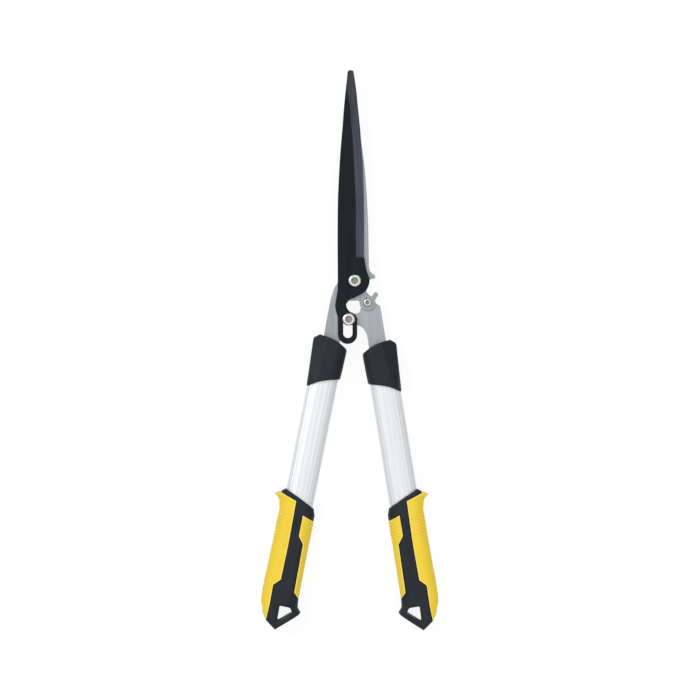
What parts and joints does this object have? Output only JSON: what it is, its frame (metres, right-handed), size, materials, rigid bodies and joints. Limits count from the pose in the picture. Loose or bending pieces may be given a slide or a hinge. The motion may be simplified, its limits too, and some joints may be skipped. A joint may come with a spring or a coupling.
{
  "type": "hedge shears",
  "caption": "Hand hedge shears with long straight blades, a lever-action pivot and two oval tube handles with padded grips, lying closed.",
  "frame": {"origin": "centre of the closed tool's bounding box in plan, on the surface that the handles lie on", "axes": "+Y along the tool towards the blade tips, +Z out of the front face, which carries the black blade and the bolt heads, +X towards the right handle as seen from the front"},
  "size_m": [0.1992, 0.6266, 0.028],
  "materials": {
    "coated_steel": "black non-stick coating, satin, with a brushed bevel along the cutting edge",
    "bright_steel": "satin ground steel plate",
    "nickel_plate": "bright nickel plating",
    "anodised_aluminium": "satin drawn aluminium with fine lengthwise flutes",
    "black_plastic": "matte moulded plastic with a fine texture",
    "yellow_rubber": "soft matte moulded rubber with grip ribs"
  },
  "bodies": {
    "left_lever": {"rear_blade": "bright_steel", "left_tang_insert": "black_plastic", "left_tang_pin_upper": "bright_steel", "left_tang_pin_lower": "bright_steel", "left_collar": "black_plastic", "left_tube": "anodised_aluminium", "left_grip_core": "black_plastic", "left_grip_outer_pad": "yellow_rubber", "left_grip_inner_pad": "yellow_rubber", "pivot_bolt": "nickel_plate", "pivot_washer": "nickel_plate", "pivot_nut": "nickel_plate", "fulcrum_bolt": "nickel_plate", "fulcrum_washer": "nickel_plate", "fulcrum_nut": "nickel_plate"},
    "right_lever": {"right_tang": "bright_steel", "drive_bolt": "nickel_plate", "drive_bush": "nickel_plate", "drive_washer": "nickel_plate", "drive_nut": "nickel_plate", "right_tang_insert": "black_plastic", "right_tang_pin_upper": "bright_steel", "right_tang_pin_lower": "bright_steel", "right_collar": "black_plastic", "right_tube": "anodised_aluminium", "right_grip_core": "black_plastic", "right_grip_outer_pad": "yellow_rubber", "right_grip_inner_pad": "yellow_rubber"},
    "cutting_blade": {"front_blade": "coated_steel"}
  },
  "joints": [
    {"name": "handle_hinge", "type": "hinge", "parent": "left_lever", "child": "right_lever", "pos_m": [0.01994, 0.05321, 0.014], "axis": [0, 0, 1], "range_deg": [0, 72]},
    {"name": "blade_hinge", "type": "hinge", "parent": "left_lever", "child": "cutting_blade", "pos_m": [0.00571, 0.07756, 0.0173], "axis": [0, 0, 1], "range_deg": [0, 36]}
  ],
  "couplings": [
    {"joint": "blade_hinge", "follows": "handle_hinge", "ratio": 0.5}
  ]
}
